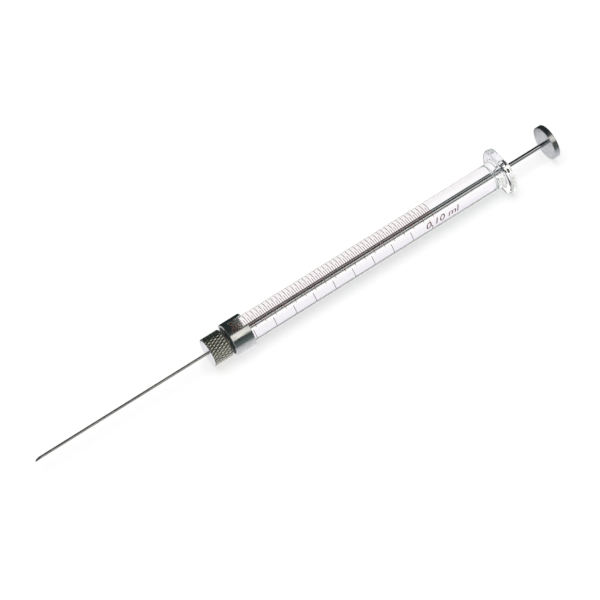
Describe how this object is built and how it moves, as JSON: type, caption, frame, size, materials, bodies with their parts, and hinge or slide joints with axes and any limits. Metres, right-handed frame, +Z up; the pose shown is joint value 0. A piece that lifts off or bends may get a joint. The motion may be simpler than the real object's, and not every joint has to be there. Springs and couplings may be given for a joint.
{
  "type": "microsyringe",
  "caption": "Gas-tight microlitre syringe: graduated thick-walled glass barrel with flange, steel plunger, slotted ferrule, knurled nut and removable needle.",
  "frame": {"origin": "middle of the overall length, under the axis, on the surface that the flange's lower flat rests on", "axes": "+X along the syringe from the needle's point to the plunger's button, +Z up through the scale and the viewing slot"},
  "size_m": [0.1558, 0.0128, 0.0102],
  "materials": {
    "glass": "clear borosilicate, fire-polished",
    "ink": "fired ceramic ink",
    "nickel_plate": "bright nickel plate on brass",
    "knurled_nickel": "nickel plate over a diamond knurl",
    "stainless": "drawn stainless steel",
    "ptfe": "white PTFE"
  },
  "bodies": {
    "barrel": {"glass_barrel": "glass", "scale_marks": "ink", "barrel_ferrule": "nickel_plate"},
    "plunger": {"plunger_rod": "stainless", "plunger_tip": "ptfe", "plunger_button": "nickel_plate"},
    "needle": {"needle_tube": "stainless", "needle_seal": "ptfe", "needle_hub": "nickel_plate"},
    "nut": {"needle_nut": "knurled_nickel"}
  },
  "joints": [
    {"name": "plunger_slide", "type": "slide", "parent": "barrel", "child": "plunger", "axis": [1, 0, 0], "range_m": [0, 0.06]},
    {"name": "needle_slide", "type": "slide", "parent": "barrel", "child": "needle", "axis": [-1, 0, 0], "range_m": [0, 0.003]},
    {"name": "nut_turn", "type": "hinge", "parent": "needle", "child": "nut", "pos_m": [-0.02515, 0, 0.0051], "axis": [-1, 0, 0], "range_deg": [0, 2160.1]}
  ],
  "couplings": [
    {"joint": "nut_turn", "follows": "needle_slide", "rad_per_m": 12566}
  ]
}
